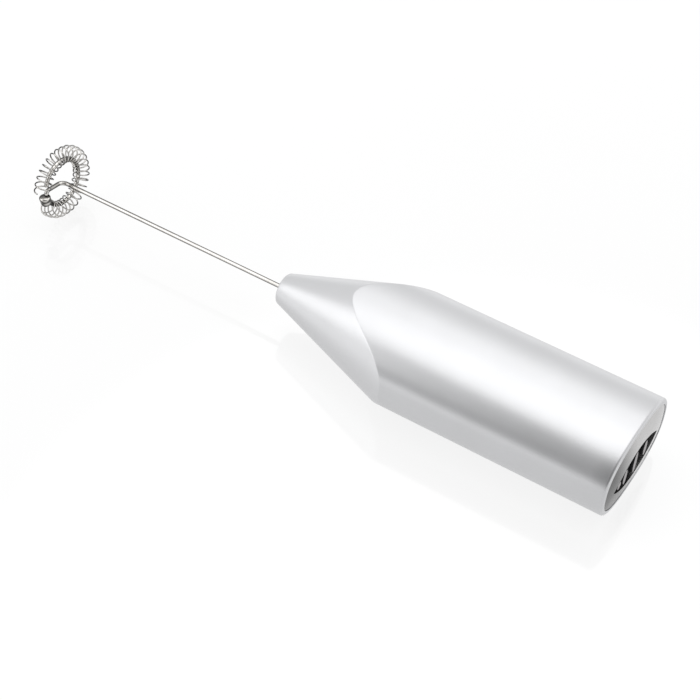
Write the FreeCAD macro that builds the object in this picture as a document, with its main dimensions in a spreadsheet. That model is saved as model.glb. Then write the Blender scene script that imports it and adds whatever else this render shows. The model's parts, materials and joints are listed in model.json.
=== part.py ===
import FreeCAD, Part
import math
import os

# Battery hand frother, lying on its back: whisk towards -X, tail with the switch towards +X,
# +Y across the flattened body, +Z up. The origin is on the resting surface, under the middle
# of the flat land on the battery door. Millimetres throughout.

os.makedirs("parts", exist_ok=True)
doc = FreeCAD.newDocument("frother")
Vector = FreeCAD.Vector
ALONG_X = FreeCAD.Rotation(Vector(0, 1, 0), 90)

# ---------------------------------------------------------------- driving dimensions

SIZES = {
    # outer body
    "body_width": 41.0,
    "body_thick": 27.0,
    "oval_power": 2.44,
    "axis_z": 13.25,
    "tail_x": 40.0,
    "nose_x": -80.0,
    "nose_r": 5.0,
    "cone_slope": 0.331,
    "wall": 1.6,
    "crease_round": 0.5,
    "tail_round": 0.9,
    "nose_round": 0.9,
    "nose_hole_r": 0.95,
    "boss_r": 2.4,
    "boss_z": 16.6,
    "boss_tall": 9.0,
    "pilot_deep": 4.4,
    "screw_r": 0.9,
    # battery door in the back
    "door_x": -33.0,
    "door_half": 13.0,
    "door_gap": 0.15,
    "rail_out": 14.2,
    "rail_in": 11.6,
    "rail_low": 4.7,
    "rail_top": 5.7,
    "rail_start": 3.0,
    "rail_long": 58.0,
    "rail_foot": 1.0,
    "lip_long": 2.6,
    "lip_wide": 14.0,
    "lip_thick": 0.9,
    "ridge_x": 20.0,
    "ridge_long": 13.0,
    "pad_long": 22.0,
    "pad_wide": 16.0,
    "pad_thick": 3.7,
    "pad_z": 2.05,
    "ridge_pitch": 2.4,
    "ridge_wide": 1.2,
    "ridge_deep": 0.5,
    # end panel and switch
    "rim": 1.9,
    "panel_x": 37.6,
    "panel_thick": 2.0,
    "dome_tall": 2.2,
    "dome_wide": 9.5,
    "well_long": 14.15,
    "well_wide": 5.2,
    "slider_long": 11.4,
    "slider_wide": 4.8,
    "slider_x": 39.7,
    "slider_y": -1.4,
    "slider_thick": 0.9,
    "rib_thick": 1.9,
    "rib_tall": 1.3,
    "rib_pitch": 6.6,
    "rib_mid_y": -0.3,
    "travel": 2.8,
    "stem_long": 5.0,
    "stem_wide": 3.0,
    "stem_deep": 3.0,
    "case_x": 31.2,
    "case_deep": 4.4,
    "case_wide": 18.0,
    "case_tall": 8.4,
    "case_wall": 1.5,
    "leaf_thick": 0.4,
    "leaf_side": 4.0,
    "leaf_y": 4.6,
    "bridge_wide": 8.6,
    "bridge_tall": 2.6,
    "clip_long": 1.2,
    "clip_wide": 3.4,
    # cells
    "cell_r": 7.25,
    "cell_long": 49.5,
    "button_r": 2.7,
    "button_tall": 1.0,
    "cell_x": -25.0,
    "cell_y": 7.4,
    "cell_edge": 0.5,
    "plate_thick": 0.4,
    "plate_tall": 11.0,
    "plate_gap": 1.8,
    "bridge_plate_wide": 26.0,
    "tip_r": 2.0,
    "rear_gap": 2.0,
    "spring_wide_r": 5.0,
    "spring_narrow_r": 2.6,
    "spring_wire_r": 0.35,
    "spring_turns": 4,
    # motor
    "motor_x": -57.0,
    "can_long": 23.0,
    "can_r": 10.0,
    "can_flat": 7.5,
    "can_wall": 0.8,
    "bell_long": 2.5,
    "motor_nose_r": 3.0,
    "motor_nose_long": 1.6,
    "bush_r": 2.2,
    "bush_long": 2.4,
    "magnet_out_r": 9.1,
    "magnet_in_r": 7.0,
    "magnet_long": 14.0,
    "core_long": 12.0,
    "core_hub_r": 2.3,
    "arm_wide": 2.2,
    "shoe_thick": 1.3,
    "shoe_wide": 9.2,
    "winding_wide": 4.6,
    "winding_tall": 2.1,
    "commutator_start": 18.4,
    "commutator_in_r": 1.7,
    "commutator_out_r": 2.4,
    "commutator_long": 3.2,
    "brush_tall": 1.8,
    "brush_y": 3.25,
    "tab_y": 6.5,
    "tab_thick": 0.5,
    "tab_wide": 2.6,
    "shaft_long": 35.6,
    "shaft_out": 9.0,
    "shaft_r": 1.0,
    "run_gap": 0.05,
    "rotor_r": 6.6,
    # chassis, strap and screws
    "roof_x": -31.0,
    "roof_long": 68.0,
    "roof_z": 14.5,
    "frame_wide": 30.4,
    "frame_tall": 14.0,
    "bulkhead_z": 6.2,
    "bulkhead_tall": 22.0,
    "front_bulkhead_thick": 1.8,
    "rear_bulkhead_thick": 1.5,
    "cradle_start": 6.0,
    "cradle_long": 20.0,
    "cradle_r": 12.2,
    "cradle_wide": 28.0,
    "beam_x": -47.0,
    "beam_long": 18.0,
    "beam_wide": 4.0,
    "beam_tall": 3.35,
    "beam_y": 12.6,
    "ear_r": 2.6,
    "ear_thick": 2.4,
    "ear_z": 14.2,
    "head_r": 1.9,
    "head_tall": 1.4,
    "strap_start": 11.0,
    "strap_long": 8.0,
    "strap_r": 11.0,
    "strap_ear_wide": 3.6,
    "strap_ear_thick": 1.2,
    "clamp_y": 12.8,
    "clamp_r": 0.8,
    "clamp_head_r": 1.3,
    # nose bush and coupling
    "nose_bush_r": 2.6,
    "nose_bush_long": 6.0,
    "coupling_r": 2.4,
    "coupling_long": 12.0,
    # whisk
    "wire_r": 0.7,
    "ring_x": -167.0,
    "ring_r": 8.0,
    "ring_tilt": -3.4,
    "spoke_angle": 169.0,
    "bend_r": 2.2,
    "hoop_bend_r": 1.2,
    "coil_ring_r": 9.65,
    "coil_r": 2.63,
    "coil_wire_r": 0.22,
    "coil_turns": 28,
    "sleeve_ring_r": 8.9,
    "sleeve_r": 1.9,
    # leads
    "lead_r": 0.6,
    "lead_bend": 1.5,
}

dims = doc.addObject("Spreadsheet::Sheet", "dims")
for row, (alias, value) in enumerate(SIZES.items(), start=1):
    dims.set(f"A{row}", alias.replace("_", " "))
    dims.set(f"B{row}", str(value))
    dims.setAlias(f"B{row}", alias)
doc.recompute()


def size(alias):
    return float(dims.get(alias))


def bound(text):
    """Turn 'tail_x - wall' into an expression that reads the sheet."""
    words = []
    for word in text.replace("(", " ( ").replace(")", " ) ").split():
        words.append("dims." + word if word in SIZES else word)
    return " ".join(words)


def place(item, x, y, z):
    for axis, text in zip("xyz", (x, y, z)):
        item.setExpression("Placement.Base." + axis, bound(str(text)))


# ---------------------------------------------------------------- primitives bound to the sheet

def rod(name, r, long, x, y="0", z="axis_z"):
    """Cylinder along X from x."""
    item = doc.addObject("Part::Cylinder", name)
    item.Placement = FreeCAD.Placement(Vector(), ALONG_X)
    item.setExpression("Radius", bound(str(r)))
    item.setExpression("Height", bound(str(long)))
    place(item, x, y, z)
    return item


def post(name, r, tall, x, y, z):
    """Cylinder along Z from z."""
    item = doc.addObject("Part::Cylinder", name)
    item.setExpression("Radius", bound(str(r)))
    item.setExpression("Height", bound(str(tall)))
    place(item, x, y, z)
    return item


def cone(name, r1, r2, long, x):
    item = doc.addObject("Part::Cone", name)
    item.Placement = FreeCAD.Placement(Vector(), ALONG_X)
    item.setExpression("Radius1", bound(str(r1)))
    item.setExpression("Radius2", bound(str(r2)))
    item.setExpression("Height", bound(str(long)))
    place(item, x, "0", "axis_z")
    return item


def box(name, long, wide, tall, x, y, z):
    """Box from x, centred on y, standing on z."""
    item = doc.addObject("Part::Box", name)
    item.setExpression("Length", bound(str(long)))
    item.setExpression("Width", bound(str(wide)))
    item.setExpression("Height", bound(str(tall)))
    place(item, x, f"{y} - ( {wide} ) / 2", z)
    return item


def both_sides(make, name, y, *rest):
    """The same piece at +y and at -y."""
    return [make(name + "_far", y, *rest), make(name + "_near", f"0 - ( {y} )", *rest)]


def cut(name, base, *tools):
    for number, tool in enumerate(tools):
        item = doc.addObject("Part::Cut", f"{name}_cut{number}" if number < len(tools) - 1 else name)
        item.Base = base
        item.Tool = tool
        base = item
    return base


def fuse(name, *pieces):
    item = doc.addObject("Part::MultiFuse", name)
    item.Shapes = list(pieces)
    return item


def common(name, *pieces):
    item = doc.addObject("Part::MultiCommon", name)
    item.Shapes = list(pieces)
    return item


def group(name, *pieces):
    item = doc.addObject("Part::Compound", name)
    item.Links = list(pieces)
    return item


def tube(name, r_out, r_in, long, x, y="0", z="axis_z"):
    outer = rod(name + "_outer", r_out, long, x, y, z)
    inner = rod(name + "_bore", r_in, f"{long} + 2", f"{x} - 1", y, z)
    return cut(name, outer, inner)


def feature(name, shape):
    """A shape that no bound primitive can make; its sizes were read from the sheet."""
    item = doc.addObject("Part::Feature", name)
    item.Shape = shape
    item.Placement = shape.Placement
    return item


def rounded(name, base, radius, wanted):
    """Round the edges of base that wanted() picks."""
    doc.recompute()
    item = doc.addObject("Part::Fillet", name)
    item.Base = base
    picked = [i for i, edge in enumerate(base.Shape.Edges, start=1) if wanted(edge)]
    item.Edges = [(i, radius, radius) for i in picked]
    doc.recompute()
    return item


# ---------------------------------------------------------------- flattened oval and its prisms

OVAL_POINTS = 48


def oval_wire(inset, x):
    """Superellipse section across the body, inset from the outer skin."""
    half_wide = size("body_width") / 2 - inset
    half_tall = size("body_thick") / 2 - inset
    power = 2 / size("oval_power")
    points = []
    for i in range(OVAL_POINTS):
        angle = 2 * math.pi * (i + 0.5) / OVAL_POINTS
        across = math.copysign(abs(math.cos(angle)) ** power, math.cos(angle))
        up = math.copysign(abs(math.sin(angle)) ** power, math.sin(angle))
        points.append(Vector(x, half_wide * across, size("axis_z") + half_tall * up))
    curve = Part.BSplineCurve()
    curve.interpolate(Points=points, PeriodicFlag=True)
    return Part.Wire([curve.toShape()])


def oval_prism(name, inset, x, long):
    section = feature(name + "_section", Part.Face(oval_wire(inset, 0)))
    prism = doc.addObject("Part::Extrusion", name)
    prism.Base = section
    prism.DirMode = "Custom"
    prism.Dir = Vector(1, 0, 0)
    prism.setExpression("LengthFwd", bound(long))
    prism.Solid = True
    prism.setExpression("Placement.Base.x", bound(x))
    return prism


ROUND_STEPS = 4


def outer_prism(name, x_start):
    """The oval carried straight to the tail, then drawn in by steps round the tail's edge."""
    tail_round = size("tail_round")
    sections = [feature(name + "_start", oval_wire(0, x_start))]
    for step in range(ROUND_STEPS + 1):
        angle = math.pi / 2 * step / ROUND_STEPS
        x = size("tail_x") - tail_round * (1 - math.sin(angle))
        sections.append(feature(f"{name}_section{step}", oval_wire(tail_round * (1 - math.cos(angle)), x)))
    loft = doc.addObject("Part::Loft", name)
    loft.Sections = sections
    loft.Solid = True
    loft.Ruled = True
    return loft


DOME_STEPS = 5


def panel_block(name, inset):
    """Oval plate across the tail whose outer face swells into a shallow pillow."""
    plate = oval_prism(name + "_plate", inset, "panel_x", "panel_thick")
    sections = []
    for step in range(DOME_STEPS + 1):
        part = step / DOME_STEPS
        x = size("panel_x") + size("panel_thick") + size("dome_tall") * (1 - (1 - part) ** 2)
        sections.append(feature(f"{name}_section{step}", oval_wire(inset + size("dome_wide") * part, x)))
    dome = doc.addObject("Part::Loft", name + "_dome")
    dome.Sections = sections
    dome.Solid = True
    dome.Ruled = True
    return fuse(name, plate, dome)


def body_form(name, inset, x_end, prism=None, nose_round=0):
    """The body's outer form moved in by inset: oval prism met by the nose cone."""
    skin = f"{inset} * 1.053"
    prism = prism or oval_prism(name + "_prism", inset, "nose_x - 2", f"{x_end} - nose_x + 2")
    start_r = f"nose_r - {skin} + cone_slope * {inset}"
    end_r = f"nose_r - {skin} + cone_slope * ( {x_end} - nose_x )"
    hull = cone(name + "_cone", start_r, end_r, f"{x_end} - nose_x - {inset}", f"nose_x + {inset}")
    if nose_round:
        hull = rounded(name + "_nose", hull, nose_round, is_nose_edge)
    return common(name, prism, hull)


def lens(name, half_long, half_wide, thick, x, y):
    """Pointed oval across the tail: the overlap of two cylinders."""
    r = f"( {half_long} * {half_long} + {half_wide} * {half_wide} ) / ( 2 * {half_wide} )"
    low = rod(name + "_low", r, thick, x, y, f"axis_z - {r} + {half_wide}")
    high = rod(name + "_high", r, thick, x, y, f"axis_z + {r} - {half_wide}")
    return common(name, low, high)


# ---------------------------------------------------------------- main shell and battery door

def near(value, target, slack=0.05):
    return abs(value - target) < slack


def is_nose_edge(edge):
    return near(edge.BoundBox.XMin, size("nose_x")) and near(edge.BoundBox.XMax, size("nose_x"))


def is_flat_end(edge):
    return near(edge.BoundBox.XLength, 0)


def is_crease(edge):
    span = edge.BoundBox
    return span.XMin > size("nose_x") + 3 and span.XMax < size("tail_x") - 20 and span.XLength > 0.5


outer_blank = outer_prism("outer_blank", size("nose_x") - 2)
sharp_form = body_form("outer_sharp", 0, "tail_x", outer_blank, size("nose_round"))
round_form = rounded("outer_creased", sharp_form, size("crease_round"), is_crease)
below_floor = box("below_floor", "130", "60", "10", "nose_x - 2", "0", "0 - 10")
outer_form = cut("outer_form", round_form, below_floor)
inner_form = body_form("inner_form", 1.6, "tail_x + 2")
nose_hole = rod("nose_hole", "nose_hole_r", "wall + 2", "nose_x - 1")
hollow = cut("shell_hollow", outer_form, inner_form, nose_hole)

SCREW_PLACES = [("-36", "13.5"), ("-36", "0 - 13.5"), ("34", "13.5"), ("34", "0 - 13.5")]
bosses = []
pilots = []
for n, (x, y) in enumerate(SCREW_PLACES):
    bosses.append(post(f"boss_blank{n}", "boss_r", "boss_tall", x, y, "boss_z"))
    pilots.append(post(f"boss_pilot{n}", "screw_r", "pilot_deep", x, y, "boss_z - 0.6"))
boss_posts = common("boss_posts", cut("boss_drilled", fuse("boss_group", *bosses), *pilots), outer_form)
door_span = "tail_x - door_x + 2"
door_hole = box("door_hole", door_span, "2 * door_half", "8", "door_x", "0", "0 - 2")
bossed = fuse("shell_bossed", hollow, boss_posts)
cut("main_shell", bossed, door_hole)

door_zone = box("door_zone", door_span, "2 * ( door_half - door_gap )", "8", "door_x + door_gap", "0",
                "0 - 2")
door_skin = common("door_skin", hollow, door_zone)


def rail(name, y):
    start = "door_x + rail_start"
    foot = box(name + "_foot", "rail_long", "rail_foot", "rail_top - 1.4", start, y, "1.4")
    wing = box(name + "_wing", "rail_long", "rail_out - rail_in", "rail_top - rail_low", start,
               f"( {y} ) * ( rail_out + rail_in ) / ( 2 * rail_in + rail_foot )", "rail_low")
    return fuse(name, foot, wing)


rails = both_sides(rail, "door_rail", "( rail_in + rail_foot / 2 )")
lip = box("door_lip", "lip_long + 3", "lip_wide", "lip_thick", "door_x + door_gap - lip_long", "0",
          "wall + 0.2")
lip_foot = box("door_lip_foot", "2", "lip_wide", "wall", "door_x + 1", "0", "1")
end_wall_blank = box("door_end_blank", "panel_thick + dome_tall + 1", "2 * rail_out", "rail_top - 0.4",
                     "panel_x", "0", "0.4")
end_wall = common("door_end_wall", end_wall_blank, panel_block("door_panel", size("rim") + 0.1))
end_foot = box("door_end_foot", "panel_thick", "2 * ( door_half - door_gap ) - 2", "2.4", "panel_x", "0",
               "1.2")
RIDGES = 5
ridge_cuts = []
for n in range(RIDGES):
    ridge_cuts.append(box(f"ridge_cut{n}", "ridge_wide", "ridge_long", "ridge_deep + 1",
                          f"ridge_x + {n} * ridge_pitch", "0", "0 - 1"))
door_blank = fuse("door_blank", door_skin, *rails, lip, lip_foot, end_wall, end_foot)
cut("battery_door", door_blank, *ridge_cuts)
box("door_pad", "pad_long", "pad_wide", "pad_thick", "0 - pad_long / 2", "0", "pad_z")

# ---------------------------------------------------------------- end panel and switch

well = lens("well", "well_long", "well_wide", "dome_tall + 1", "panel_x + panel_thick", "0")
stem_slot = box("stem_slot", "panel_thick + 2", "stem_long + travel + 0.6", "stem_wide + 0.4", "panel_x - 1",
                "slider_y + travel / 2", "axis_z - stem_wide / 2 - 0.2")
door_way = box("door_way", "panel_thick + dome_tall + 2", "2 * rail_out + 0.3", "rail_top + 0.15",
               "panel_x - 1", "0", "0")
cut("end_panel", panel_block("panel_blank", size("rim")), well, stem_slot, door_way)

slider_plate = lens("slider_plate", "slider_long", "slider_wide", "slider_thick", "slider_x", "slider_y")
RIB_X = "slider_x + slider_thick - 0.1"
RIBS = [("rib_mid_y + rib_pitch - 0.2", 5.6), ("rib_mid_y", 9.0),
        ("rib_mid_y - rib_pitch", 6.2), ("rib_mid_y - rib_pitch * 1.6", 2.8)]


def grip_rib(name, y, long):
    """Oval rib across the slider: a bar with round ends, crowned by a rounding."""
    bar = box(name + "_bar", "rib_tall", "rib_thick", f"{long} - rib_thick", RIB_X, y,
              f"axis_z - ( {long} - rib_thick ) / 2")
    low = rod(name + "_low", "rib_thick / 2", "rib_tall", RIB_X, y, f"axis_z - ( {long} - rib_thick ) / 2")
    high = rod(name + "_high", "rib_thick / 2", "rib_tall", RIB_X, y, f"axis_z + ( {long} - rib_thick ) / 2")
    blank = fuse(name, bar, low, high)
    blank.Refine = True
    top_x = size("slider_x") + size("slider_thick") - 0.1 + size("rib_tall")
    return rounded(name + "_round", blank, 0.6,
                   lambda edge: near(edge.BoundBox.XMin, top_x) and near(edge.BoundBox.XMax, top_x))


grip_ribs = [grip_rib(f"grip_rib{n}", y, long) for n, (y, long) in enumerate(RIBS)]
stem = box("slider_stem", "slider_x - panel_x + stem_deep + 0.3", "stem_long", "stem_wide",
           "panel_x - stem_deep", "slider_y", "axis_z - stem_wide / 2")
fuse("switch_slider", slider_plate, stem, *grip_ribs)

CASE_ROOM = "case_tall - 2 * case_wall"
case_blank = box("switch_case_blank", "case_deep", "case_wide", "case_tall", "case_x", "0",
                 "axis_z - case_tall / 2")
case_room = box("switch_case_room", "case_deep", "case_wide - 2 * case_wall", CASE_ROOM, "case_x + 1", "0",
                f"axis_z - ( {CASE_ROOM} ) / 2")
cut("switch_case", case_blank, case_room)


def fixed_contact(name, y):
    return box(name, "leaf_thick", "leaf_side", "leaf_side", "case_x + 1.1", y, "axis_z - leaf_side / 2")


group("switch_contacts", *both_sides(fixed_contact, "fixed_contact", "leaf_y"))
bridge_bar = box("bridge_bar", "leaf_thick", "bridge_wide", "bridge_tall", "case_x + 2", "slider_y",
                 "axis_z - bridge_tall / 2")
bridge_clip = box("bridge_clip", "clip_long", "clip_wide", "bridge_tall", "case_x + 2.2", "slider_y",
                  "axis_z - bridge_tall / 2")
fuse("switch_bridge", bridge_bar, bridge_clip)

# ---------------------------------------------------------------- cells and contacts

def cell(name, y):
    """One AA cell: can, shoulder and button, its button towards -X on the near side."""
    can = rod(name + "_can", "cell_r", "cell_long", "cell_x + button_tall", y)
    doc.recompute()
    body = doc.addObject("Part::Chamfer", name + "_body")
    body.Base = can
    edge_cut = size("cell_edge")
    picked = [i for i, edge in enumerate(can.Shape.Edges, start=1) if is_flat_end(edge)]
    body.Edges = [(i, edge_cut, edge_cut) for i in picked]
    at_front = name.endswith("near")
    button_x = "cell_x" if at_front else "cell_x + button_tall + cell_long"
    button = rod(name + "_button", "button_r", "button_tall", button_x, y)
    return fuse(name, body, button)


cell_near = cell("cell_near", "0 - cell_y")
cell_far = cell("cell_far", "cell_y")


def contact_plate(name, x, y, wide):
    return box(name, "plate_thick", wide, "plate_tall", x, y, "axis_z - plate_tall / 2")


FRONT_PLATE_X = "cell_x - plate_gap - plate_thick"
CELL_END_X = "cell_x + cell_long + 2 * button_tall"
REAR_PLATE_X = f"{CELL_END_X} + rear_gap"
front_tip = rod("front_tip", "tip_r", "plate_gap", "cell_x - plate_gap", "0 - cell_y")
front_plate = contact_plate("positive_plate", FRONT_PLATE_X, "0 - cell_y", "plate_tall")
fuse("positive_contact", front_plate, front_tip)
contact_plate("negative_contact", FRONT_PLATE_X, "cell_y", "plate_tall")
rear_tip = rod("rear_tip", "tip_r", "rear_gap", CELL_END_X, "cell_y")
fuse("bridge_contact", contact_plate("bridge_plate", REAR_PLATE_X, "0", "bridge_plate_wide"), rear_tip)


def bent_wire(points, radius):
    """Round wire along one smooth curve through the points."""
    curve = Part.BSplineCurve()
    curve.interpolate(points)
    heading = curve.tangent(curve.FirstParameter)[0]
    disc = Part.Wire([Part.Circle(points[0], heading, radius).toShape()])
    return Part.Wire([curve.toShape()]).makePipeShell([disc], True, False)


POINTS_PER_TURN = 12


def contact_spring(name, x, y, long, wide_end_first):
    """Conical compression spring against the flat end of a cell."""
    wire = size("spring_wire_r")
    radii = (size("spring_wide_r"), size("spring_narrow_r"))
    first, last = radii if wide_end_first else radii[::-1]
    count = int(size("spring_turns")) * POINTS_PER_TURN
    points = []
    for i in range(count + 1):
        part = i / count
        angle = 2 * math.pi * i / POINTS_PER_TURN
        radius = first + (last - first) * part
        points.append(Vector(x + wire + (long - 2 * wire) * part, y + radius * math.cos(angle),
                             size("axis_z") + radius * math.sin(angle)))
    return feature(name, bent_wire(points, wire))


SPRING_SLACK = 0.02
front_gap = size("plate_gap") + size("button_tall") - SPRING_SLACK
contact_spring("spring_far", size("cell_x") - size("plate_gap"), size("cell_y"), front_gap, True)
rear_gap = size("rear_gap") + size("button_tall")
rear_start = size("cell_x") + size("cell_long") + size("button_tall")
contact_spring("spring_near", rear_start, -size("cell_y"), rear_gap, False)

# ---------------------------------------------------------------- motor

MOTOR_END = "motor_x + can_long"


def flat_can(name, r, flat, long, x):
    drum = rod(name + "_drum", r, long, x)
    slab = box(name + "_slab", long, "24", f"2 * ( {flat} )", x, "0", f"axis_z - {flat}")
    return common(name, drum, slab)


can_blank = flat_can("can_blank", "can_r", "can_flat", "can_long", "motor_x")
can_room = flat_can("can_room", "can_r - can_wall", "( can_flat - can_wall )", "can_long",
                    "motor_x + can_wall")
can_nose = rod("can_nose", "motor_nose_r", "motor_nose_long", "motor_x - motor_nose_long")
can_bore = rod("can_bore", "bush_r", "6", "motor_x - 2")
cut("motor_can", fuse("can_whole", can_blank, can_nose), can_room, can_bore)
tube("front_bush", "bush_r", "shaft_r + run_gap", "bush_long", "motor_x - motor_nose_long")

bell_blank = flat_can("bell_blank", "can_r", "can_flat", "bell_long", MOTOR_END)
bell_nose = rod("bell_nose", "motor_nose_r", "1", f"{MOTOR_END} + bell_long")
bell_bore = rod("bell_bore", "bush_r", "8", f"{MOTOR_END} - 2")
tab_slots = []
for n, side in enumerate(("", "0 - ")):
    tab_slots.append(box(f"tab_slot{n}", "6", "tab_thick", "tab_wide", f"{MOTOR_END} - 1", f"{side}tab_y",
                         "axis_z - tab_wide / 2"))
cut("motor_end_bell", fuse("bell_whole", bell_blank, bell_nose), bell_bore, *tab_slots)
tube("rear_bush", "bush_r", "shaft_r + run_gap", "bush_long", f"{MOTOR_END} + 1")

MAGNET_X = "motor_x + 4"
magnet_ring = tube("magnet_ring", "magnet_out_r", "magnet_in_r", "magnet_long", MAGNET_X)
magnet_sides = [box(f"magnet_side{n}", "magnet_long", "6", "11", MAGNET_X, y, "axis_z - 5.5")
                for n, y in enumerate(("7.5", "0 - 7.5"))]
common("motor_magnets", magnet_ring, group("magnet_zone", *magnet_sides))


def spun(name, base, turn):
    """Copy of base turned about the drive axis."""
    shape = base.Shape.copy()
    shape.rotate(Vector(0, 0, size("axis_z")), Vector(1, 0, 0), turn)
    return feature(name, shape)


POLES = 3
CORE_X = "motor_x + 5"
pole_arm = box("pole_arm", "core_long", "arm_wide", "rotor_r - 1", CORE_X, "0", "axis_z + 0.4")
shoe_ring = tube("shoe_ring", "rotor_r", "rotor_r - shoe_thick", "core_long", CORE_X)
shoe_zone = box("shoe_zone", "core_long", "shoe_wide", "8", CORE_X, "0", "axis_z + 1")
pole_shoe = common("pole_shoe", shoe_ring, shoe_zone)
pole = fuse("pole_top", pole_arm, pole_shoe)
doc.recompute()
poles = [spun(f"pole_turned{n}", pole, 360 / POLES * n) for n in range(POLES)]
core_hub = rod("core_hub", "core_hub_r", "core_long", CORE_X)
core_bore = rod("core_bore", "shaft_r", "16", "motor_x + 3")
cut("rotor_core", fuse("core_whole", core_hub, *poles), core_bore)

winding_blank = box("winding_blank", "core_long + 2", "winding_wide", "winding_tall", "motor_x + 4", "0",
                    "axis_z + 2.6")
winding_room = box("winding_room", "core_long", "arm_wide", "4", CORE_X, "0", "axis_z + 2")
winding = cut("winding_top", winding_blank, winding_room)
doc.recompute()
turned_windings = [spun(f"winding_turned{n}", winding, 360 / POLES * n) for n in range(POLES)]
group("rotor_windings", *turned_windings)

COMMUTATOR_X = "motor_x + commutator_start"
tube("commutator_hub", "commutator_in_r", "shaft_r", "commutator_long + 0.4", COMMUTATOR_X)
segment_ring = tube("segment_ring", "commutator_out_r", "commutator_in_r", "commutator_long", COMMUTATOR_X)
segment_gap = box("segment_gap", "commutator_long", "0.4", "3", COMMUTATOR_X, "0", "axis_z")
doc.recompute()
gaps = [spun(f"segment_gap{n}", segment_gap, 360 / POLES * n + 60) for n in range(POLES)]
cut("commutator", segment_ring, *gaps)


def brush(name, y):
    return box(name, "2", "1.6", "brush_tall", "motor_x + 19", y, "axis_z - brush_tall / 2")


def terminal(name, y):
    return box(name, "7.6", "tab_thick", "tab_wide", "motor_x + 19.4", y, "axis_z - tab_wide / 2")


group("motor_brushes", *both_sides(brush, "brush", "brush_y"))
arms = both_sides(lambda name, y: box(name, "0.3", "2.1", "brush_tall", "motor_x + 21", y,
                                      "axis_z - brush_tall / 2"), "brush_arm", "5.2")
tabs = both_sides(terminal, "terminal_tab", "tab_y")
group("motor_terminals", fuse("terminal_far", tabs[0], arms[0]), fuse("terminal_near", tabs[1], arms[1]))
rod("motor_shaft", "shaft_r", "shaft_long", "motor_x - shaft_out")

# ---------------------------------------------------------------- chassis that holds motor and cells

roof = box("chassis_roof", "roof_long", "frame_wide", "frame_tall", "roof_x", "0", "roof_z")
front_bulkhead = box("front_bulkhead", "front_bulkhead_thick", "frame_wide", "bulkhead_tall",
                     f"{FRONT_PLATE_X} - 0.2 - front_bulkhead_thick", "0", "bulkhead_z")
rear_bulkhead = box("rear_bulkhead", "rear_bulkhead_thick", "frame_wide", "bulkhead_tall",
                    f"{REAR_PLATE_X} + plate_thick", "0", "bulkhead_z")
cradle_ring = tube("cradle_ring", "cradle_r", "can_r", "cradle_long", "motor_x + cradle_start")
cradle_top = box("cradle_top", "cradle_long", "cradle_wide", "frame_tall", "motor_x + cradle_start", "0",
                 "axis_z")
cradle = common("cradle", cradle_ring, cradle_top)
beams = both_sides(lambda name, y: box(name, "beam_long", "beam_wide", "beam_tall", "beam_x", y, "axis_z"),
                   "chassis_beam", "beam_y")
ears = [post(f"chassis_ear{n}", "ear_r", "ear_thick", x, y, "ear_z")
        for n, (x, y) in enumerate(SCREW_PLACES)]
EAR_LINK_XS = ("0 - 36", "29.5")
ear_links = []
for n, x in enumerate(EAR_LINK_XS):
    ear_links += both_sides(lambda name, y: box(name, "6", "5", "ear_thick", x, y, "ear_z"),
                            f"ear_link{n}", "13")
chassis_limit = body_form("chassis_limit", 1.8, "36.4")
chassis_whole = fuse("chassis_whole", roof, front_bulkhead, rear_bulkhead, cradle, *beams, *ears, *ear_links)
chassis_fit = common("chassis_fit", chassis_whole, chassis_limit)
cell_rooms = both_sides(lambda name, y: rod(name, "cell_r + 0.2", "56", f"{FRONT_PLATE_X} - 0.2", y),
                        "cell_room", "cell_y")
PLATE_ROOM_XS = (f"{FRONT_PLATE_X} - 0.2", f"{REAR_PLATE_X} - 0.6")
plate_rooms = [box(f"plate_room{n}", "1", "cradle_wide", "plate_tall + 1", x, "0",
                   "axis_z - ( plate_tall + 1 ) / 2") for n, x in enumerate(PLATE_ROOM_XS)]
motor_room = rod("motor_room", "can_r", "30", "motor_x - 2")
bell_room = box("bell_room", "5.8", "20", "30", "0 - 34", "0", "axis_z - 15")
switch_room = box("switch_room", "8", "case_wide + 1", "case_tall + 1", "case_x - 0.2", "0",
                  "axis_z - ( case_tall + 1 ) / 2")
head_rooms = []
boss_rooms = []
ear_holes = []
for n, (x, y) in enumerate(SCREW_PLACES):
    head_rooms.append(post(f"head_room{n}", "head_r + 0.2", "2.2", x, y, "12"))
    boss_rooms.append(post(f"boss_room{n}", "ear_r", "12", x, y, "boss_z"))
    ear_holes.append(post(f"ear_hole{n}", "screw_r + 0.1", "6", x, y, "12"))
lead_hole = rod("lead_hole", "lead_r + 0.2", "4", "cell_x - 5", "8.8", "16.5")
cut("chassis", chassis_fit, *cell_rooms, *plate_rooms, motor_room, bell_room, switch_room,
    lead_hole, *head_rooms, *boss_rooms, *ear_holes)

screws = []
for n, (x, y) in enumerate(SCREW_PLACES):
    head = post(f"screw_head{n}", "head_r", "head_tall", x, y, "ear_z - head_tall")
    shank = post(f"screw_shank{n}", "screw_r", "6.2", x, y, "ear_z")
    screws.append(fuse(f"screw{n}", head, shank))
group("chassis_screws", *screws)

# strap that clamps the motor up into the cradle
STRAP_X = "motor_x + strap_start"
CLAMP_X = f"{STRAP_X} + strap_long / 2"
strap_ring = tube("strap_ring", "strap_r", "can_r", "strap_long", STRAP_X)
strap_low = box("strap_low", "strap_long", "cradle_wide", "frame_tall", STRAP_X, "0", "axis_z - frame_tall")
strap_arc = common("strap_arc", strap_ring, strap_low)
strap_ears = both_sides(lambda name, y: box(name, "strap_long", "strap_ear_wide", "strap_ear_thick", STRAP_X,
                                            y, "axis_z - strap_ear_thick"),
                        "strap_ear", "( clamp_y - 0.5 )")
strap_holes = both_sides(lambda name, y: post(name, "clamp_r", "4", CLAMP_X, y, "axis_z - 2"),
                         "strap_hole", "clamp_y")
cut("motor_strap", fuse("strap_whole", strap_arc, *strap_ears), *strap_holes)


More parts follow.
